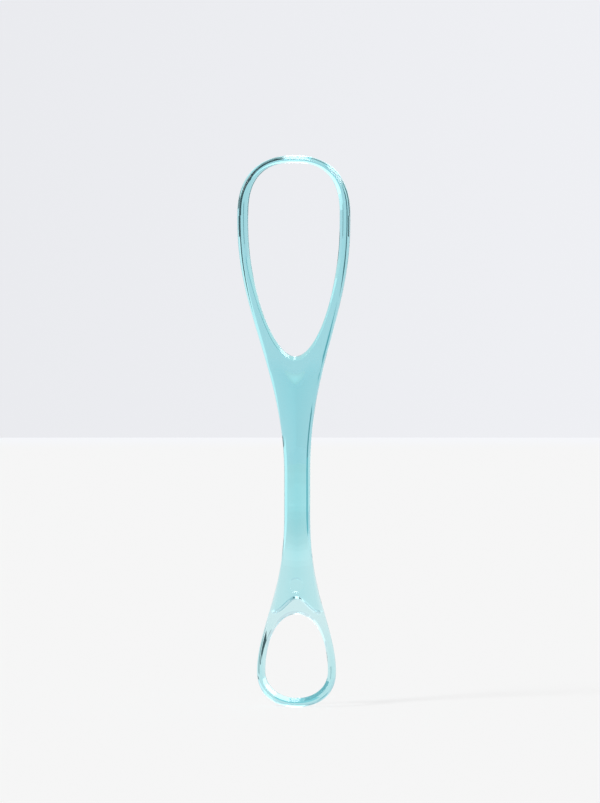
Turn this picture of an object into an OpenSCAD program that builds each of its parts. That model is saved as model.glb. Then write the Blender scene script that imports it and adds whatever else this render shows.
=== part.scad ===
// Double-ended tongue scraper, moulded in one piece of clear plastic.
// It stands on the tip of its small loop: X runs across it, Y from its front (-Y)
// to its back, and Z along it, from the small loop to the large one.
// A waisted grip joins the two loops. The grip is a raised, ridged body on the front of
// a plate, and ends at each loop in an arch, past which the plate runs on as a web.

/* [Large loop] */
// Width across the large loop
large_w = 32.9; // [29:0.1:38]
// Length of its rounded far end, from the widest line to the tip
large_cap_l = 17.2; // [14:0.1:22]
// Length of its flank, from the widest line to the straight grip
large_flank_l = 76.5; // [70:0.5:95]
// Width of the rim along both sides
large_rim_w = 3.05; // [2:0.05:4]
// Width of the rim at the tip
large_tip_w = 2.1; // [1.8:0.1:3.5]
// Length of the opening
large_open_l = 56; // [48:0.5:58]
// Length of the opening's inner end, over which it closes
large_end_l = 30; // [18:0.5:34]
// Length of the web between the opening and the handle's end
large_web_l = 9.5; // [9:0.5:12]
// Width of the arch in which the grip's raised body ends
large_arch_w = 11.4; // [6:0.1:14]
// Height of that arch
large_arch_h = 4; // [2:0.1:4.2]
// Length over which the raised body fades out past the arch
large_fade_l = 5.2; // [2:0.1:5.4]
// How far this loop stands forward of the grip
large_lean = 10; // [0:0.5:16]

/* [Small loop] */
// Width across the small loop
small_w = 23.05; // [20:0.05:28]
// Length of its rounded far end, from the widest line to the tip
small_cap_l = 10.3; // [9:0.1:14]
// Length of its flank, from the widest line to the straight grip
small_flank_l = 48; // [42:0.5:60]
// Width of the rim along both sides
small_rim_w = 2.35; // [1.8:0.05:3.2]
// Width of the rim at the tip
small_tip_w = 2.55; // [1.8:0.05:3.5]
// Length of the opening
small_open_l = 24.4; // [22:0.1:27]
// Length of the opening's inner end, over which it closes
small_end_l = 15.4; // [8:0.1:16]
// Length of the web between the opening and the handle's end
small_web_l = 5.8; // [5.5:0.1:8]
// Width of the arch in which the grip's raised body ends
small_arch_w = 12.8; // [6:0.1:14]
// Height of that arch
small_arch_h = 4.2; // [2:0.1:4.2]
// Length over which the raised body steps up past the arch
small_fade_l = 1.5; // [0.6:0.1:1.5]
// How far this loop stands forward of the grip
small_lean = 2.5; // [0:0.5:5]

/* [Grip] */
// Width of the grip at its waist
grip_w = 7.5; // [6:0.1:10]
// Length of the straight stretch at the waist
grip_l = 8; // [4:0.5:30]
// Height of the raised body's edges over the plate, at its end by the large loop
large_pad_h = 0.15; // [0.05:0.05:1]
// Height of the raised body's edges over the plate, from the grip to the small loop
small_pad_h = 0.6; // [0.2:0.05:1]
// Height of the ridge along the middle of the raised body
ridge_h = 0.6; // [0:0.05:1.2]
// Distance from the middle over which the ridge is softened
ridge_soft = 0.15; // [0.05:0.05:1.5]
// Width of the slope down the raised body's sides, at the small loop
side_w = 1.8; // [0.5:0.1:2.5]
// Length over which that slope narrows away towards the grip
side_l = 18; // [6:0.5:24]

/* [Thickness] */
// Thickness of the plate under the grip
plate_t = 2.4; // [2:0.1:3.5]
// Thickness of the large loop
large_t = 3; // [2:0.1:3.5]
// Length over which the plate thickens from the grip towards the large loop
swell_l = 30; // [10:0.5:50]
// Thickness of the web at the small loop
small_web_t = 1.3; // [1:0.1:2]
// Thickness of the small loop at its tip
small_tip_t = 2.4; // [1.5:0.1:3]
// Length over which the plate thins from the grip towards the small loop
taper_l = 18; // [6:0.5:22]

/* [Edges] */
// Radius of the rounded edges round the outline
edge_r = 1.1; // [0.3:0.05:1.2]
// Radius of the rounded edges round the openings
lip_r = 0.3; // [0.1:0.05:0.4]
// Width of the bevel round the front of the openings
bevel_w = 1.1; // [0.5:0.05:1.5]
// Depth of that bevel at the opening
bevel_h = 0.7; // [0.1:0.05:0.8]

/* [Ejector mark] */
// Diameter of the round mark that the ejector pin leaves
mark_d = 4.5; // [3:0.1:5.5]
// Depth of the mark at its rim
mark_h = 0.07; // [0.05:0.01:0.2]
// Distance from the handle's end at the small loop to the mark
mark_gap = 0.45; // [0.2:0.05:10]

/* [Hidden] */

// Heights of the straight grip and of the whole part
grip_low_z = small_cap_l + small_flank_l;
grip_high_z = grip_low_z + grip_l;
total_l = grip_high_z + large_flank_l + large_cap_l;

// Powers of the curves. The outer cap and the opening's cap are rounded ends, the flank
// leaves the grip by its rise power and meets the cap by its turn power, and the end
// power shapes the opening's inner end.
large_cap_power = 2.33;
large_hole_power = 2.54;
large_rise_power = 2.26;
large_turn_power = 2.72;
large_end_power = 5.7;
small_cap_power = 2.23;
small_hole_power = 2.05;
small_rise_power = 2.66;
small_turn_power = 2.2;
small_end_power = 4.9;

// A loop is a list of its values. It is drawn from its tip, and its way is 1 where it
// points up the part and -1 where it points down.
LARGE = [
    total_l, -1, large_w, large_cap_l, large_flank_l, large_rim_w, large_tip_w,
    large_open_l, large_end_l, large_web_l, large_arch_w, large_arch_h, large_fade_l,
    large_lean, large_cap_power, large_hole_power, large_rise_power, large_turn_power,
    large_end_power
];
SMALL = [
    0, 1, small_w, small_cap_l, small_flank_l, small_rim_w, small_tip_w,
    small_open_l, small_end_l, small_web_l, small_arch_w, small_arch_h, small_fade_l,
    small_lean, small_cap_power, small_hole_power, small_rise_power, small_turn_power,
    small_end_power
];

function tip_z(p) = p[0];
function way(p) = p[1];
function loop_w(p) = p[2];
function cap_l(p) = p[3];
function flank_l(p) = p[4];
function rim_w(p) = p[5];
function tip_w(p) = p[6];
function open_l(p) = p[7];
function end_l(p) = p[8];
function web_l(p) = p[9];
function arch_w(p) = p[10];
function arch_h(p) = p[11];
function fade_l(p) = p[12];
function lean(p) = p[13];
function cap_power(p) = p[14];
function hole_power(p) = p[15];
function rise_power(p) = p[16];
function turn_power(p) = p[17];
function end_power(p) = p[18];

// Powers of the bow that carries each loop forward of the grip
LEAN_RISE_POWER = 1.5;
LEAN_TURN_POWER = 2;

// The front's furthest reach from the plate's middle at the grip, and that middle's
// place, which centres the part's box on Y
front_reach = max(
    large_lean + large_t / 2,
    small_lean + small_tip_t / 2,
    plate_t / 2 + small_pad_h + ridge_h
);
grip_y = (front_reach - plate_t / 2) / 2;

// An edge's radius is at most this share of the plate, and the bevel's depth this one
edge_share = 0.48;
bevel_share = 0.3;
// The bevel takes at most this share of a wall within its rounded outer edge
bevel_wall_share = 0.8;
thin_wall = min(large_tip_w, large_rim_w, small_tip_w, small_rim_w);

// Angles at which a rounded edge has its points
EDGE_ANGLES = [0, 30, 60, 90];
// Where the points between the edges lie across the grip, as shares of its half width,
// and on a loop, as shares of the wall between its edges
grip_shares = [5 / 6, 2 / 3, 1 / 2, 1 / 3, 1 / 6, 0];
back_shares = [1 / 2];
plain_shares = [1 / 5, 2 / 5, 3 / 5, 4 / 5];
// Where the raised body stands on a loop's front, they follow its step instead, which
// lies between these shares and is at least as wide as the last
step_low_share = 0.08;
step_high_share = 0.96;
step_least_share = 0.08;
// How many times the search for the step halves the wall
STEP_HALVINGS = 10;
// How many sections each stretch of the handle and of a loop has
LOW_SECTIONS = 17;
GRIP_SECTIONS = 2;
HIGH_SECTIONS = 18;
LARGE_LINES = [20, 5, 20];
SMALL_LINES = [17, 1, 14];
// Angle round the opening's inner end at which the web's corner lies
CORNER_ANGLE = 60;
MARK_FACETS = 48;

body_colour = [0.45, 0.78, 0.83, 0.75];

function mix(a, b, share) = a + (b - a) * share;
function smooth(share) = let (c = min(max(share, 0), 1)) c * c * (3 - 2 * c);
// A share that leaves 0 by one power and reaches 1 by another
function ease(u, rise, turn) = 1 - pow(1 - pow(u, rise), turn);

// Height of a place on a loop, and its distance from the loop's tip
function height(p, s) = tip_z(p) + way(p) * s;
function along(p, z) = (z - tip_z(p)) * way(p);
function loop_at(z) = z > (grip_low_z + grip_high_z) / 2 ? LARGE : SMALL;

// Where a loop's opening starts to close, where it ends, and where the loop ends
function end_start(p) = tip_w(p) + open_l(p) - end_l(p);
function open_end(p) = tip_w(p) + open_l(p);
function cut(p) = open_end(p) + web_l(p);
handle_low_z = height(SMALL, cut(SMALL));
handle_high_z = height(LARGE, cut(LARGE));

// Share of the way from the grip to a loop's widest line
function flank_share(p, s) = min(max((cap_l(p) + flank_l(p) - s) / flank_l(p), 0), 1);

// The outline's half width at distance s from the tip
function outline(p, s) =
    s < cap_l(p)
    ? loop_w(p) / 2 * pow(1 - pow(1 - s / cap_l(p), cap_power(p)), 1 / cap_power(p))
    : mix(grip_w, loop_w(p), ease(flank_share(p, s), rise_power(p), turn_power(p))) / 2;

// How fast the outline widens along the flank, as a slope
function outline_slope(p, s) =
    let (u = flank_share(p, s), rise = rise_power(p), turn = turn_power(p))
    (loop_w(p) - grip_w) / 2 / flank_l(p)
    * rise * turn * pow(u, rise - 1) * pow(1 - pow(u, rise), turn - 1);

// Distance from a point of the flank or the grip to the outline
function outline_gap(p, x, s) =
    (outline(p, s) - abs(x)) / norm([1, outline_slope(p, s)]);

// The bow: the middle of the plate stands forward of the grip towards each loop
function middle_y(z) =
    let (p = loop_at(z))
    grip_y - lean(p) * ease(flank_share(p, along(p, z)), LEAN_RISE_POWER, LEAN_TURN_POWER);

// The plate's thickness: it swells towards the large loop, thins towards the small
// loop's web, and swells again towards that loop's tip
function plate(z) =
    z > grip_high_z ? mix(plate_t, large_t, smooth((z - grip_high_z) / swell_l))
    : z > grip_low_z - taper_l
    ? mix(plate_t, small_web_t, smooth((grip_low_z - z) / taper_l))
    : mix(small_tip_t, small_web_t, smooth((z - small_tip_w) / small_open_l));

// Height of the raised body's edges over the plate
function pad(z) =
    mix(small_pad_h, large_pad_h, smooth((z - grip_low_z) / (handle_high_z - grip_low_z)));

// How much of the raised body stands at a place: none on a loop, all past its arch
function arch(p, x) = open_end(p) + arch_h(p) * (1 - smooth(2 * abs(x) / arch_w(p)));
function body_rise(p, x, s) = (s - arch(p, x)) / fade_l(p);
function body_share(p, x, z) = smooth(body_rise(p, x, along(p, z)));

// The raised body slopes down to its sides near the small loop
function side_share(x, z) =
    let (side = side_w * max(0, 1 - (along(SMALL, z) - open_end(SMALL)) / side_l))
    side == 0 ? 1 : smooth(outline_gap(SMALL, x, along(SMALL, z)) / side);

// The ridge falls from the middle of the raised body to its edges
function crest(x, z) =
    let (p = loop_at(z), half = outline(p, along(p, z)))
    max(0, 1 - (norm([x, ridge_soft]) - ridge_soft) / half);

// Height of the raised body over the plate
function raised(x, z) =
    body_share(LARGE, x, z) * body_share(SMALL, x, z) * side_share(x, z)
    * (pad(z) + ridge_h * crest(x, z));

// A rounded edge: its radius, and how far the surface drops at a gap from the wall
function edge(z) = min(edge_r, edge_share * plate(z), thin_wall - lip_r);
function edge_drop(gap, r) = gap >= r ? 0 : r - sqrt(r * r - pow(r - max(gap, 0), 2));
function edge_steps(r) = [for (a = EDGE_ANGLES) r * (1 - cos(a))];

// The two surfaces, at a place that lies gap from the outline
function front_y(x, z, gap) =
    middle_y(z) - plate(z) / 2 - raised(x, z) + edge_drop(gap, edge(z));
function back_y(z, gap) = middle_y(z) + plate(z) / 2 - edge_drop(gap, edge(z));

// The bevel round an opening: its width on a wall, and how far the front drops there
function wall_bevel(width, r) = min(bevel_w, bevel_wall_share * (width - r));
function bevel_drop(place, z, width) =
    min(bevel_h, bevel_share * plate(z)) * max(0, 1 - place / width);

function reversed(list) = [for (i = [len(list) - 1:-1:0]) list[i]];
function without_ends(list) = [for (i = [1:1:len(list) - 2]) list[i]];

// Places across half the grip, from the outline in to the middle
function half_places(half, r) = concat(
    [for (step = edge_steps(r)) half - step],
    [for (share = grip_shares) (half - r) * share]
);

// The handle's cross-section: its front from left to right, then its back
function handle_section(z) =
    let (
        p = loop_at(z),
        s = along(p, z),
        half = outline(p, s),
        places = half_places(half, edge(z)),
        edges = [for (step = edge_steps(edge(z))) half - step],
        front = concat(-places, reversed([for (i = [0:len(places) - 2]) places[i]])),
        back = concat(edges, -reversed(edges))
    )
    concat(
        [for (x = front) [x, front_y(x, z, outline_gap(p, x, s)), z]],
        [for (x = back) [x, back_y(z, outline_gap(p, x, s)), z]]
    );

// Places from one to another, without the last
function steps(from, to, count) = [for (i = [0:count - 1]) mix(from, to, i / count)];
handle_heights = concat(
    steps(handle_low_z, grip_low_z, LOW_SECTIONS),
    steps(grip_low_z, grip_high_z, GRIP_SECTIONS),
    steps(grip_high_z, handle_high_z, HIGH_SECTIONS),
    [handle_high_z]
);

// A loop is a wall round its opening. Each line crosses the wall, from a point on the
// opening to one on the outline or, past the corner, on the handle's end. A point here
// is [place across, distance from the tip].
function cap_point(half, start, length, power, angle) = [
    half * pow(cos(angle), 2 / power),
    start + length * (1 - pow(sin(angle), 2 / power))
];
function end_point(p, angle) =
    let (s = end_start(p) + end_l(p) * pow(sin(angle), 2 / end_power(p)))
    [(outline(p, s) - rim_w(p)) * cos(angle), s];
// The angle round the inner end at a share of its length up to the web's corner
function end_angle(p, share) =
    asin(pow(pow(sin(CORNER_ANGLE), 2 / end_power(p)) * share, end_power(p) / 2));

function cap_line(p, angle) =
    let (half = loop_w(p) / 2)
    [
        cap_point(half - rim_w(p), tip_w(p), cap_l(p) - tip_w(p), hole_power(p), angle),
        cap_point(half, 0, cap_l(p), cap_power(p), angle)
    ];
function flank_line(p, s) = [[outline(p, s) - rim_w(p), s], [outline(p, s), s]];
function end_line(p, share) =
    let (s = mix(end_start(p), cut(p), share))
    [end_point(p, end_angle(p, share)), [outline(p, s), s]];
function web_line(p, x) =
    let (share = x / outline(p, cut(p)))
    [end_point(p, mix(90, CORNER_ANGLE, share)), [x, cut(p)]];

function half_ring(p, lines) = concat(
    [for (angle = steps(90, 0, lines[0])) cap_line(p, angle)],
    [for (s = steps(cap_l(p), end_start(p), lines[1])) flank_line(p, s)],
    [for (share = steps(0, 1, lines[2])) end_line(p, share)],
    [for (x = half_places(outline(p, cut(p)), edge(height(p, cut(p))))) web_line(p, x)]
);
function mirrored(line) = [for (point = line) [-point[0], point[1]]];
function ring(p, lines) =
    let (half = half_ring(p, lines))
    concat(half, [for (line = reversed(without_ends(half))) mirrored(line)]);

// A point on a line, at a distance from the opening
function on_line(line, place) =
    mix(line[0], line[1], place / norm(line[1] - line[0]));

// Share of a line at which the raised body stands as much as a given share
function rise_at(p, line, rise, low = 0, high = 1, halvings = STEP_HALVINGS) =
    let (
        share = (low + high) / 2,
        point = mix(line[0], line[1], share),
        reached = body_rise(p, point[0], point[1]) > rise
    )
    halvings == 0
    ? share
    : rise_at(p, line, rise, reached ? low : share, reached ? share : high, halvings - 1);

// Shares of a line where the front has its points: at the step's foot, on it, at its
// head and past it
function step_shares(p, line) =
    let (
        foot = min(max(rise_at(p, line, 0), step_low_share), step_high_share - step_least_share),
        head = min(max(rise_at(p, line, 1), foot + step_least_share), step_high_share)
    )
    [foot, (foot + head) / 2, head, (head + 1) / 2];
function front_shares(p, line) =
    body_rise(p, line[1][0], line[1][1]) > 0 ? step_shares(p, line) : plain_shares;

// The places along a line, as distances from the opening: round the opening's edge, then
// at shares of the way from one place to another, and round the outer edge
function wall_places(width, r, from, shares) = concat(
    edge_steps(lip_r),
    [for (share = shares) mix(from, width - r, share)],
    [for (step = reversed(edge_steps(r))) width - step]
);

// Distance from a point on a line to the outline
function outer_gap(p, point, rest) =
    point[1] < cap_l(p) ? rest : outline_gap(p, point[0], point[1]);

// A point of a loop's front or back, at a distance from the opening
function front_point(p, line, place, bevel) =
    let (
        point = on_line(line, place),
        z = height(p, point[1]),
        gap = outer_gap(p, point, norm(line[1] - point)),
        drop = edge_drop(place, lip_r) + bevel_drop(place, z, bevel)
    )
    [point[0], front_y(point[0], z, gap) + drop, z];
function back_point(p, line, place) =
    let (
        point = on_line(line, place),
        z = height(p, point[1]),
        gap = outer_gap(p, point, norm(line[1] - point))
    )
    [point[0], back_y(z, gap) - edge_drop(place, lip_r), z];

// A loop's cross-section on a line: its front from the opening out, then its back
function wall_section(p, line) =
    let (
        width = norm(line[1] - line[0]),
        r = edge(height(p, line[0][1])),
        bevel = wall_bevel(width, r),
        flat = [on_line(line, bevel), on_line(line, width - r)],
        front = wall_places(width, r, bevel, concat([0], front_shares(p, flat))),
        back = wall_places(width, r, lip_r, back_shares)
    )
    concat(
        [for (place = front) front_point(p, line, place, bevel)],
        [for (place = reversed(back)) back_point(p, line, place)]
    );

// Triangles between the rows of a skin. Each row is a closed section.
function skin(rows, row_points, closed, flip) = [
    for (i = [0:rows - (closed ? 1 : 2)], j = [0:row_points - 1])
        let (
            next_i = (i + 1) % rows,
            next_j = (j + 1) % row_points,
            a = i * row_points + j,
            b = i * row_points + next_j,
            c = next_i * row_points + next_j,
            d = next_i * row_points + j
        )
        each flip ? [[a, c, b], [a, d, c]] : [[a, b, c], [a, c, d]]
];

module loop(p, lines) {
    sections = [for (line = ring(p, lines)) wall_section(p, line)];
    polyhedron(
        points = [for (section = sections) each section],
        faces = skin(len(sections), len(sections[0]), true, way(p) > 0)
    );
}

// The mark's floor lies square to the bow, a little under the raised body's surface
module ejector_mark() {
    z = handle_low_z + mark_gap + mark_d / 2;
    slope = (middle_y(z + mark_d / 2) - middle_y(z - mark_d / 2)) / mark_d;
    floor_y = front_y(mark_d / 2, z, edge_r) + mark_h;
    translate([0, floor_y, z])
        rotate([90 - atan(slope), 0, 0])
            cylinder(h = plate_t + small_pad_h + ridge_h, d = mark_d, $fn = MARK_FACETS);
}

module handle_body() {
    sections = [for (z = handle_heights) handle_section(z)];
    rows = len(sections);
    row_points = len(sections[0]);
    polyhedron(
        points = [for (section = sections) each section],
        faces = concat(
            skin(rows, row_points, false, true),
            [[for (j = [0:row_points - 1]) j]],
            [[for (j = [row_points - 1:-1:0]) (rows - 1) * row_points + j]]
        )
    );
}

module large_loop() {
    color(body_colour)
        loop(LARGE, LARGE_LINES);
}

module handle() {
    color(body_colour)
        difference() {
            handle_body();
            ejector_mark();
        }
}

module small_loop() {
    color(body_colour)
        loop(SMALL, SMALL_LINES);
}

large_loop();
handle();
small_loop();
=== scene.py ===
"""Double-ended tongue scraper, moulded in one piece of clear teal plastic.

It stands on the tip of its small loop, as in the photograph. X runs across it, Y from
its front (-Y) to its back, and Z along it, from the small loop to the large one.
"""

import math
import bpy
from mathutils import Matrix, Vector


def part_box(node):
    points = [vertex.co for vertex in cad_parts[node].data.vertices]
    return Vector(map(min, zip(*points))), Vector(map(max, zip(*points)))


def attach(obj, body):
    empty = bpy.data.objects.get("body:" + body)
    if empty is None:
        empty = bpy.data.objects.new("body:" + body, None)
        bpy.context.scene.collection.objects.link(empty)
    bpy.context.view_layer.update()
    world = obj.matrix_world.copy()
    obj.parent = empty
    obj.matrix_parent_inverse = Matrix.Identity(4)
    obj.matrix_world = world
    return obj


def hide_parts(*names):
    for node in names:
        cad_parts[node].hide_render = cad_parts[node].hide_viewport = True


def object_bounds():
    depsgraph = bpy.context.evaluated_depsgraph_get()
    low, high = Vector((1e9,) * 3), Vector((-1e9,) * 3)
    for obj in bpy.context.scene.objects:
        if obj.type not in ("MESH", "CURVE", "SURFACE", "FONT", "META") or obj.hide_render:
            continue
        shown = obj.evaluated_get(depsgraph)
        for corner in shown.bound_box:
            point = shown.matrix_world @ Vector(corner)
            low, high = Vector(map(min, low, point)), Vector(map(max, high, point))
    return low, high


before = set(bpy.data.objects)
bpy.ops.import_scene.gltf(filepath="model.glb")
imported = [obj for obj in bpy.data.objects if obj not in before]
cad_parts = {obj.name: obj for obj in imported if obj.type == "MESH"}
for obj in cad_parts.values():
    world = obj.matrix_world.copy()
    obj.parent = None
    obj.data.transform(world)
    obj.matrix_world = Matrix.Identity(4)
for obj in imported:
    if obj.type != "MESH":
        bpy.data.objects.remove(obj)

from types import SimpleNamespace

import bpy
from mathutils import Vector

cad_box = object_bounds()

MM = 0.001

# Sizes that the frame gives, in millimetres
SMALL_BOX = [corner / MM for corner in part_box("small_loop")]
LARGE_BOX = [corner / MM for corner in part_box("large_loop")]
TOTAL_L = LARGE_BOX[1].z
SMALL_W = SMALL_BOX[1].x - SMALL_BOX[0].x
LARGE_W = LARGE_BOX[1].x - LARGE_BOX[0].x
BACK_Y = cad_box[1].y / MM

# Sizes that the frame doesn't give, in millimetres, as in the part's source
GRIP_W = 7.5
GRIP_L = 8
LARGE_PAD_H = 0.15
SMALL_PAD_H = 0.6
RIDGE_H = 0.6
RIDGE_SOFT = 0.15
SIDE_W = 1.8
SIDE_L = 18
PLATE_T = 2.4
LARGE_T = 3
SWELL_L = 30
SMALL_WEB_T = 1.3
SMALL_TIP_T = 2.4
TAPER_L = 18
EDGE_R = 1.1
BEVEL_W = 1.1
BEVEL_H = 0.7
LIP_R = 0.3
LARGE_CAP_L = 17.2
LARGE_FLANK_L = 76.5
SMALL_CAP_L = 10.3
SMALL_FLANK_L = 48

# Towards the large loop's tip the edges are drawn rounder than the part's, from this height
# and over this length
CAP_EDGE_R = 1.44
CAP_EDGE_Z = 112
CAP_EDGE_L = 25

# Each loop is drawn from its tip, whose height is tip_z; way is 1 where it points up
# the part and -1 where it points down. The powers shape its curves.
LARGE = SimpleNamespace(
    tip_z=TOTAL_L, way=-1, w=LARGE_W, cap_l=LARGE_CAP_L, flank_l=LARGE_FLANK_L,
    rim_w=3.05, tip_w=2.1, open_l=56, end_l=30, web_l=9.5,
    arch_w=11.4, arch_h=4, fade_l=5.2, lean=10,
    cap_power=2.33, hole_power=2.54, rise_power=2.26, turn_power=2.72, end_power=5.7,
)
SMALL = SimpleNamespace(
    tip_z=0, way=1, w=SMALL_W, cap_l=SMALL_CAP_L, flank_l=SMALL_FLANK_L,
    rim_w=2.35, tip_w=2.55, open_l=24.4, end_l=15.4, web_l=5.8,
    arch_w=12.8, arch_h=4.2, fade_l=1.5, lean=2.5,
    cap_power=2.23, hole_power=2.05, rise_power=2.66, turn_power=2.2, end_power=4.9,
)
LEAN_RISE_POWER = 1.5
LEAN_TURN_POWER = 2

GRIP_LOW_Z = SMALL_CAP_L + SMALL_FLANK_L
GRIP_HIGH_Z = GRIP_LOW_Z + GRIP_L
GRIP_LARGE_Z = TOTAL_L - LARGE.tip_w - LARGE.open_l - LARGE.web_l
GRIP_Y = BACK_Y - PLATE_T / 2

# The most that the edges and the bevel take of the plate's thickness and the wall's width
EDGE_SHARE = 0.48
BEVEL_SHARE = 0.3
BEVEL_WALL_SHARE = 0.8

# The ejector mark: a flat round dent in the handle's front
MARK_D = 4.5
MARK_H = 0.07
MARK_GAP = 0.45
MARK_WALL = 0.5

# How finely the moulding is drawn
EDGE_STEPS = 10
HALF_STEPS = 26
WALL_STEPS = 18
BEVEL_STEPS = 5
CAP_LINES = 64
LINE_GAP = 0.5
SECTION_GAP = 0.2
CORNER_ANGLE = math.radians(60)
WELD_DIGITS = 4

# The plastic: how it bends light, and the tint that its depth gives
IOR = 1.5
TINT_COLOUR = (0, 0.75, 0.81, 1)
TINT_DENSITY = 310

# Its skin: a haze and flow waves, in metres
HAZE_SIZE = 0.004
HAZE_DETAIL = 4
HAZE_SPAN = (0.35, 0.75)
HAZE_ROUGHNESS = (0.015, 0.05)
FLOW_SIZE = 0.005
FLOW_DETAIL = 2
FLOW_STRETCH = 0.3
FLOW_DEPTH = 0.00004

# The photograph's height, its scale at the tool, and the camera that took it
FRAME_H_PX = 803
PIXEL = 0.2902 * MM
CAMERA_DISTANCE = 1.5
CAMERA_AZIMUTH = math.radians(6)
CAMERA_HEIGHT = 0.094
CENTRE_Z = 0.0888
CENTRE_X = 0.0013
SENSOR = 36
CAMERA_REACH = 20

# The floor is a disc. It glows in a colour that fades to a farther one, and it scatters a
# share of the light as well, so that it takes a shadow.
FLOOR_RADIUS = 7.5
FLOOR_SIDES = 96
FLOOR_FADE = (5.8, 7.4)
FLOOR_SHADE = 0.14
FLOOR_COLOUR = (0.789, 0.789, 0.789, 1)
FLOOR_FAR_COLOUR = (0.79, 0.8, 0.83, 1)

# The backdrop brightens a little from left to right, from one azimuth to another. What it
# sheds on the floor is dimmer.
BACKDROP_COLOUR = (0.954, 0.963, 1, 1)
BACKDROP_SPAN = (-10, -2)
BACKDROP_LEVELS = (0.86, 0.905)
AMBIENT = 0.35

# The key light: its azimuth and elevation, its strength, and how wide it looks in degrees
KEY_PLACE = (-140, 45)
KEY_STRENGTH = 2.6
KEY_SOFTNESS = 12


def patch(first, second, soft, fill):
    """A part of the sky or the floor: its two ranges, how soft their edges are, what fills it."""
    return SimpleNamespace(ranges=(first, second), soft=soft, fill=fill)


def sheet(radius, azimuths, heights, level, colour=(1, 1, 1, 1)):
    """A curved glowing sheet round the tool that paints light and shade into the plastic, in metres
    and degrees, with its brightness and colour.
    """
    return SimpleNamespace(
        radius=radius, azimuths=azimuths, heights=heights, level=level, colour=colour
    )


# In degrees, azimuth is 0 behind the tool and 90 to its right, and roll is 0 straight up
# and 90 to the right. Depth is -1 in front and 1 behind.

# Softboxes in the sky that only the plastic shows and that light nothing else, so painted
# highlights: one by azimuth and elevation, the two strips by roll and depth
SIDE_HIGHLIGHT_BOX = patch((-150, -122), (12, 30), (3, 3), 4)
TOP_HIGHLIGHT_STRIP = patch((-12, 2), (-0.9, 0.8), (2, 0.05), 9)
RIGHT_HIGHLIGHT_STRIP = patch((28, 58), (-0.9, 0.4), (3, 0.05), 9)

# The floor as only the plastic shows it, by azimuth and distance: a painted dark patch far
# back, painted teal shade under the small loop in three parts, a painted pool of light at
# its left, and the floor behind the tool, no paler than the backdrop
PAINTED_FLOOR_PATCHES = (
    patch((28, 45), (0.65, 2), (1, 0.01), (0.02, 0.02, 0.02, 1)),
    patch((3, 14), (0.07, 0.15), (0.5, 0.002), (0.05, 0.19, 0.21, 1)),
    patch((15, 45), (-1, 0.045), (1, 0.001), (0.14, 0.41, 0.46, 1)),
    patch((-20, 14), (-1, 0.05), (1, 0.001), (0.28, 0.61, 0.66, 1)),
    patch((-45, -20), (-1, 0.06), (1, 0.001), (1.4, 1.4, 1.4, 1)),
    patch((-14, 1), (1.1, 8), (1, 0.05), (0.71, 0.72, 0.755, 1)),
)

# Glowing cards behind the tool, which only the plastic shows: painted shade and painted
# reflections. The dark ones, painted shade for the streaks and lines, are teal, as the streaks are.
PAINTED_SHADE_TEAL = (0.35, 0.9, 1, 1)
PAINTED_SHEETS = (
    # Painted shade: the dark streaks on the left of the large loop and of the small one
    sheet(0.024, (-37, -12), (0.1435, 0.1535), 0.07, PAINTED_SHADE_TEAL),
    sheet(0.024, (-25, -2), (0.138, 0.1435), 0.08, PAINTED_SHADE_TEAL),
    sheet(0.25, (3, 13), (0.141, 0.158), 0.07, PAINTED_SHADE_TEAL),
    sheet(0.0205, (-35, -30.5), (0.011, 0.0225), 0.08, PAINTED_SHADE_TEAL),
    # Painted shade: the dark line down the right, from the large loop to the grip
    sheet(0.25, (-21, -12), (0.138, 0.158), 0.18, PAINTED_SHADE_TEAL),
    sheet(0.25, (-24, -11), (0.109, 0.13), 0.5, PAINTED_SHADE_TEAL),
    sheet(0.4, (-23, -14), (0.066, 0.1), 0.4, PAINTED_SHADE_TEAL),
    sheet(0.25, (-25, -14), (0.051, 0.07), 0.6, PAINTED_SHADE_TEAL),
    # Painted light: a pale surface behind the grip, glowing in steps
    sheet(0.5, (-20, 1.5), (0, 0.024), 0.92),
    sheet(0.5, (-20, 1.5), (0.024, 0.034), 0.95),
    sheet(0.5, (-20, 1.5), (0.034, 0.047), 0.98),
    sheet(0.5, (-20, 1.5), (0.047, 0.052), 0.94),
    sheet(0.5, (-20, 1.5), (0.052, 0.057), 0.9),
    sheet(0.5, (-20, 1.5), (0.057, 0.062), 0.87),
    # Painted reflections: the bright inner lines of the large loop, and the bright line down the
    # left
    sheet(0.4, (-14, 28), (0.19, 0.43), 1.7),
    sheet(0.6, (3, 34), (0.03, 0.086), 1.15),
    sheet(2, (0, 34), (0.225, 0.52), 1.15),
    # Painted shade: a black one far back on the right
    sheet(2, (24, 40), (0, 0.15), 0.05),
)
SHEET_STEPS = 24


def mix(a, b, share):
    return a + (b - a) * share


def smooth(share):
    share = min(max(share, 0), 1)
    return share * share * (3 - 2 * share)


def ease(u, rise, turn):
    """A share that leaves 0 by one power and reaches 1 by another."""
    return 1 - (1 - u**rise) ** turn


def height(p, s):
    return p.tip_z + p.way * s


def along(p, z):
    return (z - p.tip_z) * p.way


def loop_at(z):
    return LARGE if z > (GRIP_LOW_Z + GRIP_HIGH_Z) / 2 else SMALL


def open_end(p):
    return p.tip_w + p.open_l


def end_start(p):
    return open_end(p) - p.end_l


def cut(p):
    return open_end(p) + p.web_l


def flank_share(p, s):
    return min(max((p.cap_l + p.flank_l - s) / p.flank_l, 0), 1)


def outline(p, s):
    """The outline's half width at distance s from a loop's tip."""
    if s < p.cap_l:
        rest = (1 - s / p.cap_l) ** p.cap_power
        return p.w / 2 * (1 - rest) ** (1 / p.cap_power)
    return mix(GRIP_W, p.w, ease(flank_share(p, s), p.rise_power, p.turn_power)) / 2


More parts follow.
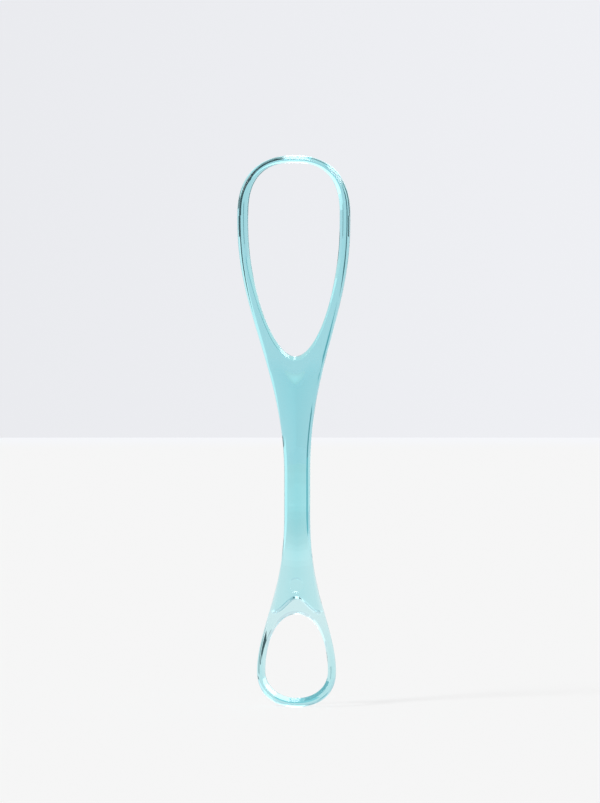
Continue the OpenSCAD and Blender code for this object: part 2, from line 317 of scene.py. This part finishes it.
def outline_slope(p, s):
    u = flank_share(p, s)
    steepness = p.rise_power * p.turn_power * u ** (p.rise_power - 1)
    rest = (1 - u**p.rise_power) ** (p.turn_power - 1)
    return (p.w - GRIP_W) / 2 / p.flank_l * steepness * rest


def outline_gap(p, x, s):
    """Distance from a point of the flank or the grip to the outline."""
    return (outline(p, s) - abs(x)) / math.hypot(1, outline_slope(p, s))


def middle_y(z):
    """The bow: the plate's middle stands forward of the grip towards each loop."""
    p = loop_at(z)
    return GRIP_Y - p.lean * ease(flank_share(p, along(p, z)), LEAN_RISE_POWER, LEAN_TURN_POWER)


def plate(z):
    """The plate's thickness."""
    taper_z = GRIP_LOW_Z - TAPER_L
    if z > GRIP_HIGH_Z:
        return mix(PLATE_T, LARGE_T, smooth((z - GRIP_HIGH_Z) / SWELL_L))
    if z > taper_z:
        return mix(SMALL_WEB_T, PLATE_T, smooth((z - taper_z) / TAPER_L))
    return mix(SMALL_TIP_T, SMALL_WEB_T, smooth((z - SMALL.tip_w) / SMALL.open_l))


def pad(z):
    """Height of the raised body over the plate at its edges."""
    return mix(SMALL_PAD_H, LARGE_PAD_H, smooth((z - GRIP_LOW_Z) / (GRIP_LARGE_Z - GRIP_LOW_Z)))


def body_share(p, x, z):
    """How much of the raised body stands: none on a loop, all past its arch."""
    arch = open_end(p) + p.arch_h * (1 - smooth(2 * abs(x) / p.arch_w))
    return smooth((along(p, z) - arch) / p.fade_l)


def raised(x, z):
    """Height of the raised body and its crest over the plate."""
    standing = body_share(LARGE, x, z) * body_share(SMALL, x, z)
    if standing == 0:
        return 0
    p = loop_at(z)
    s = along(p, z)
    half = outline(p, s)
    crest = max(0, 1 - (math.hypot(x, RIDGE_SOFT) - RIDGE_SOFT) / half)
    side = SIDE_W * max(0, 1 - (s - open_end(p)) / SIDE_L)
    if side > 0 and p is SMALL:
        standing *= smooth(outline_gap(p, x, s) / side)
    return standing * (pad(z) + RIDGE_H * crest)


def edge(z):
    """The radius of the outline's edges, which are rounder towards the large loop's tip."""
    r = mix(EDGE_R, CAP_EDGE_R, smooth((z - CAP_EDGE_Z) / CAP_EDGE_L))
    return min(r, EDGE_SHARE * plate(z))


def bevel_drop(place, z, bevel_w):
    """How far the front drops towards the opening, at a distance from it."""
    return min(BEVEL_H, BEVEL_SHARE * plate(z)) * max(0, 1 - place / bevel_w)


def edge_drop(gap, r):
    return 0 if gap >= r else r - math.sqrt(r * r - (r - max(gap, 0)) ** 2)


def plain_front_y(x, z, gap):
    return middle_y(z) - plate(z) / 2 - raised(x, z) + edge_drop(gap, edge(z))


MARK_Z = height(SMALL, cut(SMALL)) + MARK_GAP + MARK_D / 2
MARK_SLOPE = (middle_y(MARK_Z + MARK_D / 2) - middle_y(MARK_Z - MARK_D / 2)) / MARK_D
MARK_FLOOR_Y = plain_front_y(MARK_D / 2, MARK_Z, EDGE_R) + MARK_H


def front_y(x, z, gap):
    """The front surface, with the ejector mark let into it."""
    y = plain_front_y(x, z, gap)
    inside = smooth((MARK_D / 2 - math.hypot(x, z - MARK_Z)) / MARK_WALL)
    floor_y = MARK_FLOOR_Y + MARK_SLOPE * (z - MARK_Z)
    return mix(y, max(y, floor_y), inside)


def back_y(z, gap):
    return middle_y(z) + plate(z) / 2 - edge_drop(gap, edge(z))


def edge_places(r):
    """Distances from a wall at which its rounded edge has points."""
    return [r * (1 - math.cos(math.pi / 2 * i / EDGE_STEPS)) for i in range(EDGE_STEPS + 1)]


def half_places(half, r):
    """Places across half the grip, from the outline in to the middle."""
    edges = [half - step for step in edge_places(r)]
    return edges + [(half - r) * (1 - (i + 1) / HALF_STEPS) for i in range(HALF_STEPS)]


def handle_section(z):
    """The front from left to right, then the back from right to left."""
    p = loop_at(z)
    s = along(p, z)
    places = half_places(outline(p, s), edge(z))
    across = [-x for x in places] + places[-2::-1]
    front = [(x, front_y(x, z, outline_gap(p, x, s)), z) for x in across]
    back = [(x, back_y(z, outline_gap(p, x, s)), z) for x in reversed(across)]
    return front + back


def steps(start, end, gap):
    """Places from start to end, without the last, at most gap apart."""
    count = math.ceil(abs(end - start) / gap)
    return [mix(start, end, i / count) for i in range(count)]


def cap_point(half, start, length, power, angle):
    """A point on a rounded end, as (place across, distance from the tip)."""
    across = half * max(math.cos(angle), 0) ** (2 / power)
    return across, start + length * (1 - max(math.sin(angle), 0) ** (2 / power))


def end_angle(p, share):
    """The angle round the opening's inner end, at a share of the way to the web's corner."""
    corner = math.sin(CORNER_ANGLE) ** (2 / p.end_power)
    return math.asin((corner * share) ** (p.end_power / 2))


def end_point(p, angle):
    """A point on the opening's inner end."""
    s = end_start(p) + p.end_l * math.sin(angle) ** (2 / p.end_power)
    return (outline(p, s) - p.rim_w) * math.cos(angle), s


def half_ring(p):
    """Lines across the wall round half the opening, from the tip's middle to the web's.

    Each line is (point on the opening, point on the outline or the cut, on the cut).
    """
    half = p.w / 2
    lines = []
    for angle in steps(math.pi / 2, 0, math.pi / 2 / CAP_LINES):
        hole = cap_point(half - p.rim_w, p.tip_w, p.cap_l - p.tip_w, p.hole_power, angle)
        lines.append((hole, cap_point(half, 0, p.cap_l, p.cap_power, angle), False))
    for s in steps(p.cap_l, end_start(p), LINE_GAP):
        lines.append(((outline(p, s) - p.rim_w, s), (outline(p, s), s), False))
    for s in steps(end_start(p), cut(p), LINE_GAP):
        share = (s - end_start(p)) / (cut(p) - end_start(p))
        lines.append((end_point(p, end_angle(p, share)), (outline(p, s), s), False))
    corner = outline(p, cut(p))
    for x in half_places(corner, edge(height(p, cut(p)))):
        angle = mix(math.pi / 2, CORNER_ANGLE, x / corner)
        lines.append((end_point(p, angle), (x, cut(p)), True))
    return lines


def ring(p):
    half = half_ring(p)
    other = [((-hole[0], hole[1]), (-out[0], out[1]), on_cut) for hole, out, on_cut in half[-2:0:-1]]
    return half + other


def wall_section(p, hole, out):
    """A loop's section on one line: its front from the opening out, then its back."""
    width = math.dist(hole, out)
    r = edge(height(p, hole[1]))
    bevel_w = min(BEVEL_W, BEVEL_WALL_SHARE * (width - r))
    places = edge_places(LIP_R)
    places += [mix(LIP_R, bevel_w, (i + 1) / BEVEL_STEPS) for i in range(BEVEL_STEPS)]
    places += [mix(bevel_w, width - r, (i + 1) / WALL_STEPS) for i in range(WALL_STEPS - 1)]
    places += [width - step for step in reversed(edge_places(r))]
    front, back = [], []
    for place in places:
        x = mix(hole[0], out[0], place / width)
        s = mix(hole[1], out[1], place / width)
        outer = width - place if s < p.cap_l else outline_gap(p, x, s)
        z = height(p, s)
        lip = edge_drop(place, LIP_R)
        front.append((x, front_y(x, z, outer) + lip + bevel_drop(place, z, bevel_w), z))
        back.append((x, back_y(z, outer) - lip, z))
    return front + back[::-1]


class Skin:
    """Gathers points and faces in millimetres and welds the points that coincide."""

    def __init__(self):
        self.points = []
        self.faces = []
        self.known = {}

    def point(self, place):
        key = tuple(round(value, WELD_DIGITS) for value in place)
        if key not in self.known:
            self.known[key] = len(self.points)
            self.points.append(place)
        return self.known[key]

    def face(self, corners):
        kept = [c for i, c in enumerate(corners) if c != corners[i - 1]]
        if len(set(kept)) > 2:
            self.faces.append(kept)


def add_handle(skin):
    low, high = height(SMALL, cut(SMALL)), height(LARGE, cut(LARGE))
    heights = steps(low, GRIP_LOW_Z, SECTION_GAP)
    heights += steps(GRIP_LOW_Z, GRIP_HIGH_Z, SECTION_GAP)
    heights += steps(GRIP_HIGH_Z, high, SECTION_GAP) + [high]
    rows = [[skin.point(place) for place in handle_section(z)] for z in heights]
    for lower, upper in zip(rows, rows[1:]):
        for j in range(len(lower)):
            skin.face([lower[j - 1], lower[j], upper[j], upper[j - 1]])


def add_loop(skin, p):
    lines = ring(p)
    rows = [[skin.point(place) for place in wall_section(p, hole, out)] for hole, out, _ in lines]
    outer = len(rows[0]) // 2
    for i in range(len(rows)):
        a, b = rows[i - 1], rows[i]
        on_cut = lines[i - 1][2] and lines[i][2]
        for j in range(len(a)):
            if not (on_cut and j == outer):
                corners = [a[j - 1], a[j], b[j], b[j - 1]]
                skin.face(corners if p.way > 0 else corners[::-1])


def moulding(material):
    """The whole tool as one closed skin, because it is moulded in one piece."""
    skin = Skin()
    add_handle(skin)
    add_loop(skin, LARGE)
    add_loop(skin, SMALL)
    mesh = bpy.data.meshes.new("moulding")
    mesh.from_pydata([[value * MM for value in place] for place in skin.points], [], skin.faces)
    mesh.validate()
    mesh.shade_smooth()
    mesh.materials.append(material)
    piece = bpy.data.objects.new("moulding", mesh)
    bpy.context.scene.collection.objects.link(piece)
    return piece


def math_node(nodes, links, operation, *values):
    """A Math node whose inputs are numbers or other nodes' outputs. Returns its output."""
    node = nodes.new("ShaderNodeMath")
    node.operation = operation
    for socket, value in zip(node.inputs, values):
        if isinstance(value, (int, float)):
            socket.default_value = value
        else:
            links.new(value, socket)
    return node.outputs[0]


def noise(nodes, links, place, size, detail):
    """Noise whose waves are about size metres long."""
    node = nodes.new("ShaderNodeTexNoise")
    node.inputs["Scale"].default_value = 1 / size
    node.inputs["Detail"].default_value = detail
    links.new(place, node.inputs["Vector"])
    return node.outputs["Fac"]


def ramp(nodes, links, value, start, end, low, high, soft=False):
    """Maps a value from the range start to end onto the range low to high."""
    node = nodes.new("ShaderNodeMapRange")
    node.interpolation_type = "SMOOTHSTEP" if soft else "LINEAR"
    links.new(value, node.inputs["Value"])
    for name, number in zip(("From Min", "From Max", "To Min", "To Max"), (start, end, low, high)):
        node.inputs[name].default_value = number
    return node.outputs["Result"]


def clear_plastic():
    """Clear teal plastic: its tint lies in its depth, with faint flow waves and haze on its skin."""
    material = bpy.data.materials.new("clear_teal_plastic")
    material.use_nodes = True
    nodes, links = material.node_tree.nodes, material.node_tree.links
    shader = nodes["Principled BSDF"]
    shader.inputs["Base Color"].default_value = (1, 1, 1, 1)
    shader.inputs["Transmission Weight"].default_value = 1
    shader.inputs["IOR"].default_value = IOR

    place = nodes.new("ShaderNodeTexCoord").outputs["Object"]
    haze = noise(nodes, links, place, HAZE_SIZE, HAZE_DETAIL)
    roughness = ramp(nodes, links, haze, *HAZE_SPAN, *HAZE_ROUGHNESS)
    links.new(roughness, shader.inputs["Roughness"])

    stretch = nodes.new("ShaderNodeMapping")
    stretch.inputs["Scale"].default_value = (1, 1, FLOW_STRETCH)
    links.new(place, stretch.inputs["Vector"])
    bump = nodes.new("ShaderNodeBump")
    bump.inputs["Strength"].default_value = 1
    bump.inputs["Distance"].default_value = FLOW_DEPTH
    waves = noise(nodes, links, stretch.outputs[0], FLOW_SIZE, FLOW_DETAIL)
    links.new(waves, bump.inputs["Height"])
    links.new(bump.outputs[0], shader.inputs["Normal"])

    tint = nodes.new("ShaderNodeVolumeAbsorption")
    tint.inputs["Color"].default_value = TINT_COLOUR
    tint.inputs["Density"].default_value = TINT_DENSITY
    links.new(tint.outputs["Volume"], nodes["Material Output"].inputs["Volume"])
    return material


def place_round(azimuth, elevation, distance):
    """A place round the tool. Azimuth 0 is straight behind it and 90 to its right, in degrees."""
    turn, rise = math.radians(azimuth), math.radians(elevation)
    flat = distance * math.cos(rise)
    return Vector((flat * math.sin(turn), flat * math.cos(turn), distance * math.sin(rise)))


def add_camera():
    data = bpy.data.cameras.new("camera")
    data.sensor_width = SENSOR
    data.lens = SENSOR * CAMERA_DISTANCE / (FRAME_H_PX * PIXEL)
    data.clip_end = CAMERA_REACH
    camera = bpy.data.objects.new("camera", data)
    bpy.context.scene.collection.objects.link(camera)
    back = Vector((math.sin(CAMERA_AZIMUTH), -math.cos(CAMERA_AZIMUTH), 0))
    across = Vector((math.cos(CAMERA_AZIMUTH), math.sin(CAMERA_AZIMUTH), 0))
    target = across * CENTRE_X + Vector((0, 0, CENTRE_Z))
    place = across * CENTRE_X + back * CAMERA_DISTANCE + Vector((0, 0, CAMERA_HEIGHT))
    camera.location = place
    camera.rotation_euler = (target - place).to_track_quat("-Z", "Y").to_euler()
    bpy.context.scene.camera = camera


def shown_to_eye(nodes, links):
    """1 for rays that show the surroundings: to the camera, by gloss or through the plastic."""
    path = nodes.new("ShaderNodeLightPath").outputs
    seen = math_node(nodes, links, "MAXIMUM", path["Is Camera Ray"], path["Is Glossy Ray"])
    return math_node(nodes, links, "MAXIMUM", seen, path["Is Transmission Ray"])


def patch_weight(nodes, links, area, places):
    """1 where two places lie in a patch's ranges, but 0 for the camera, with soft edges."""
    weight = 1
    for place, (low, high), soft in zip(places, area.ranges, area.soft):
        rise = ramp(nodes, links, place, low - soft, low + soft, 0, 1, soft=True)
        fall = ramp(nodes, links, place, high - soft, high + soft, 1, 0, soft=True)
        both = math_node(nodes, links, "MULTIPLY", rise, fall)
        weight = math_node(nodes, links, "MULTIPLY", both, weight)
    path = nodes.new("ShaderNodeLightPath").outputs
    unseen = math_node(nodes, links, "SUBTRACT", 1, path["Is Camera Ray"])
    return math_node(nodes, links, "MULTIPLY", weight, unseen)


def patched(nodes, links, level, area, places):
    """The level with a patch of another one in it."""
    weight = patch_weight(nodes, links, area, places)
    difference = math_node(nodes, links, "SUBTRACT", area.fill, level)
    return math_node(nodes, links, "MULTIPLY_ADD", difference, weight, level)


def colour_mix(nodes, links, weight, low, high):
    """A Mix node between two colours, which are values or other nodes' outputs."""
    node = nodes.new("ShaderNodeMix")
    node.data_type = "RGBA"
    links.new(weight, node.inputs["Factor"])
    for name, colour in (("A", low), ("B", high)):
        socket = next(s for s in node.inputs if s.name == name and s.type == "RGBA")
        if isinstance(colour, tuple):
            socket.default_value = colour
        else:
            links.new(colour, socket)
    return next(s for s in node.outputs if s.type == "RGBA")


def degrees_of(nodes, links, operation, *values):
    return math_node(nodes, links, "DEGREES", math_node(nodes, links, operation, *values))


def add_world():
    """A pale backdrop, with softboxes round it that only the plastic shows: painted highlights,
    which light nothing else.
    """
    world = bpy.data.worlds.new("studio")
    world.use_nodes = True
    nodes, links = world.node_tree.nodes, world.node_tree.links
    direction = nodes.new("ShaderNodeSeparateXYZ")
    links.new(nodes.new("ShaderNodeTexCoord").outputs["Generated"], direction.inputs[0])
    x, y, z = direction.outputs
    azimuth = degrees_of(nodes, links, "ARCTAN2", x, y)
    elevation = degrees_of(nodes, links, "ARCSINE", z)
    roll = degrees_of(nodes, links, "ARCTAN2", x, z)

    level = ramp(nodes, links, azimuth, *BACKDROP_SPAN, *BACKDROP_LEVELS)
    # Painted highlights, which only the plastic shows
    level = patched(nodes, links, level, SIDE_HIGHLIGHT_BOX, (azimuth, elevation))
    level = patched(nodes, links, level, TOP_HIGHLIGHT_STRIP, (roll, y))
    level = patched(nodes, links, level, RIGHT_HIGHLIGHT_STRIP, (roll, y))

    ambient = nodes["Background"]
    ambient.inputs["Color"].default_value = (1, 1, 1, 1)
    ambient.inputs["Strength"].default_value = AMBIENT
    seen = nodes.new("ShaderNodeBackground")
    seen.inputs["Color"].default_value = BACKDROP_COLOUR
    links.new(level, seen.inputs["Strength"])
    mixer = nodes.new("ShaderNodeMixShader")
    links.new(shown_to_eye(nodes, links), mixer.inputs[0])
    links.new(ambient.outputs[0], mixer.inputs[1])
    links.new(seen.outputs[0], mixer.inputs[2])
    links.new(mixer.outputs[0], nodes["World Output"].inputs["Surface"])
    bpy.context.scene.world = world


def add_floor():
    """A pale floor that fades into the backdrop at its far edge and takes a faint shadow."""
    material = bpy.data.materials.new("floor")
    material.use_nodes = True
    nodes, links = material.node_tree.nodes, material.node_tree.links
    paint = nodes["Principled BSDF"]
    paint.inputs["Base Color"].default_value = (FLOOR_SHADE, FLOOR_SHADE, FLOOR_SHADE, 1)
    paint.inputs["Roughness"].default_value = 1
    paint.inputs["Specular IOR Level"].default_value = 0
    place = nodes.new("ShaderNodeNewGeometry").outputs["Position"]
    length = nodes.new("ShaderNodeVectorMath")
    length.operation = "LENGTH"
    links.new(place, length.inputs[0])
    far = length.outputs["Value"]
    fade = ramp(nodes, links, far, *FLOOR_FADE, 0, 1, soft=True)
    split = nodes.new("ShaderNodeSeparateXYZ")
    links.new(place, split.inputs[0])
    azimuth = degrees_of(nodes, links, "ARCTAN2", split.outputs[0], split.outputs[1])

    colour = colour_mix(nodes, links, fade, FLOOR_COLOUR, FLOOR_FAR_COLOUR)
    # Painted shade, teal shade and a pool of light on the floor, which only the plastic shows
    for area in PAINTED_FLOOR_PATCHES:
        weight = patch_weight(nodes, links, area, (azimuth, far))
        colour = colour_mix(nodes, links, weight, colour, area.fill)
    glow = nodes.new("ShaderNodeEmission")
    links.new(colour, glow.inputs["Color"])
    links.new(shown_to_eye(nodes, links), glow.inputs["Strength"])
    both = nodes.new("ShaderNodeAddShader")
    links.new(paint.outputs[0], both.inputs[0])
    links.new(glow.outputs[0], both.inputs[1])
    links.new(both.outputs[0], nodes["Material Output"].inputs["Surface"])
    turns = [2 * math.pi * i / FLOOR_SIDES for i in range(FLOOR_SIDES)]
    corners = [(FLOOR_RADIUS * math.cos(turn), FLOOR_RADIUS * math.sin(turn), 0) for turn in turns]
    mesh = bpy.data.meshes.new("floor")
    mesh.from_pydata(corners, [], [range(FLOOR_SIDES)])
    mesh.materials.append(material)
    floor = bpy.data.objects.new("floor", mesh)
    bpy.context.scene.collection.objects.link(floor)


def add_sheet(painted_light_card):
    """A glowing sheet that only the plastic shows, by gloss or through it: painted light and shade.
    """
    material = bpy.data.materials.new("painted_light_card")
    material.use_nodes = True
    nodes, links = material.node_tree.nodes, material.node_tree.links
    glow = nodes.new("ShaderNodeEmission")
    glow.inputs["Color"].default_value = painted_light_card.colour
    glow.inputs["Strength"].default_value = painted_light_card.level
    links.new(glow.outputs[0], nodes["Material Output"].inputs["Surface"])
    turns = [math.radians(mix(*painted_light_card.azimuths, i / SHEET_STEPS)) for i in range(SHEET_STEPS + 1)]
    corners = [
        (painted_light_card.radius * math.sin(turn), painted_light_card.radius * math.cos(turn), rise)
        for rise in painted_light_card.heights
        for turn in turns
    ]
    row = len(turns)
    faces = [(i, i + 1, row + i + 1, row + i) for i in range(SHEET_STEPS)]
    mesh = bpy.data.meshes.new("painted_light_card")
    mesh.from_pydata(corners, [], faces)
    mesh.materials.append(material)
    standing = bpy.data.objects.new("painted_light_card", mesh)
    standing.visible_camera = False
    standing.visible_diffuse = False
    standing.visible_shadow = False
    bpy.context.scene.collection.objects.link(standing)


def add_key():
    """The key light, from the front left. The plastic doesn't show it; a painted highlight in the
    sky stands for it there.
    """
    data = bpy.data.lights.new("key", "SUN")
    data.energy = KEY_STRENGTH
    data.angle = math.radians(KEY_SOFTNESS)
    light = bpy.data.objects.new("key", data)
    light.rotation_euler = place_round(*KEY_PLACE, -1).to_track_quat("-Z", "Y").to_euler()
    light.visible_glossy = False
    light.visible_transmission = False
    bpy.context.scene.collection.objects.link(light)


piece = moulding(clear_plastic())
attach(piece, "root")
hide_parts("large_loop", "handle", "small_loop")

add_camera()
add_world()
add_floor()
for painted_light_card in PAINTED_SHEETS:
    add_sheet(painted_light_card)
add_key()

bpy.context.scene.view_settings.view_transform = "Standard"
